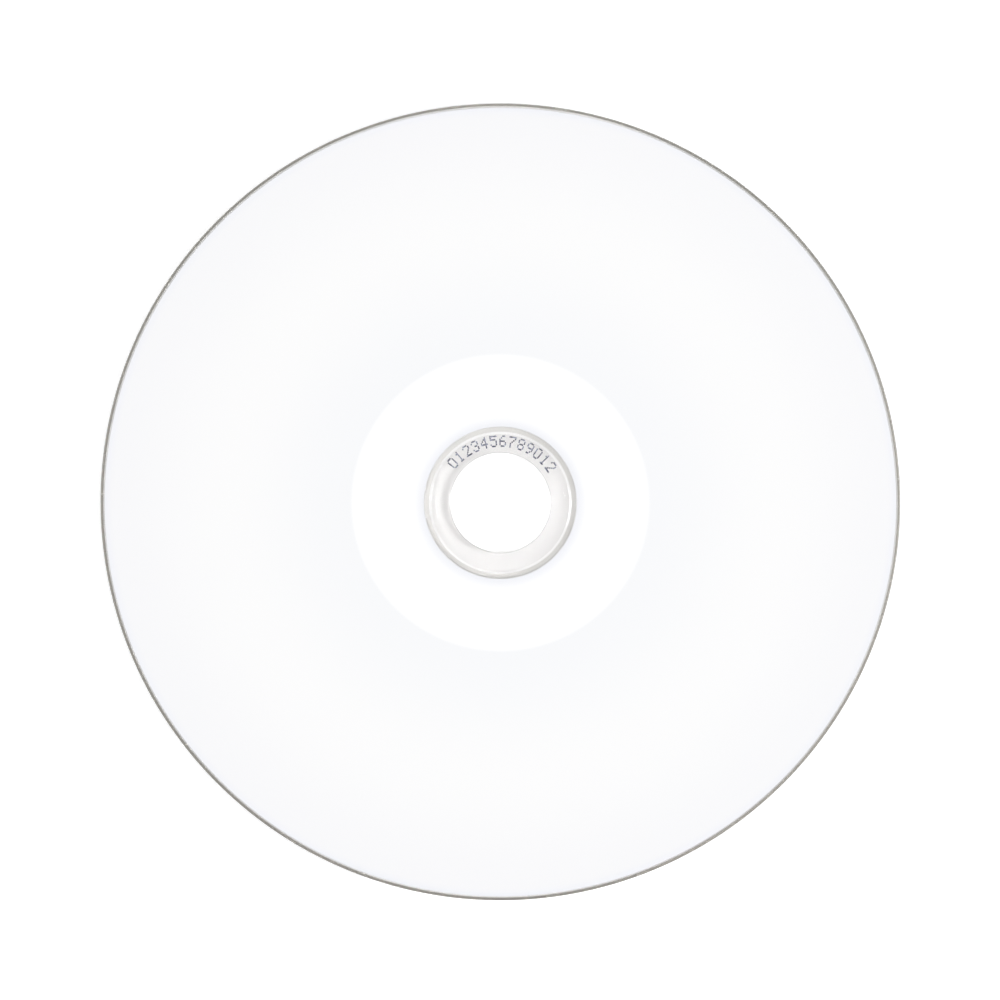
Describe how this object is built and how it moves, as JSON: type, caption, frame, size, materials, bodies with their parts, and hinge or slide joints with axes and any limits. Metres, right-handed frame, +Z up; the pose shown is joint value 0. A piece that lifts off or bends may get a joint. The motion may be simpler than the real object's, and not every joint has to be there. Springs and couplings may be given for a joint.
{
  "type": "compact disc",
  "caption": "Recordable compact disc with a white inkjet-printable label face that reaches to the hub, a clear hub and rim, and a silvery read side, lying label side up.",
  "frame": {"origin": "on the disc's axis, at the foot of the stacking ring that the disc lies on", "axes": "+Z up along the disc's axis, out of the white label face; the hub's digits stand upright towards +Y"},
  "size_m": [0.12, 0.12, 0.0014],
  "materials": {
    "clear_polycarbonate": "water-clear moulded polycarbonate, polished",
    "silver_over_dye": "mirror silver seen through a pale green dye and the clear plastic",
    "white_receiving_ink": "matt white ink-receiving print with a very fine tooth",
    "hub_ink": "dark blue-grey jet-printed dots on the clear hub"
  },
  "bodies": {
    "root": {"substrate": "clear_polycarbonate", "reflective_layer": "silver_over_dye", "printable_coating": "white_receiving_ink"}
  },
  "joints": []
}
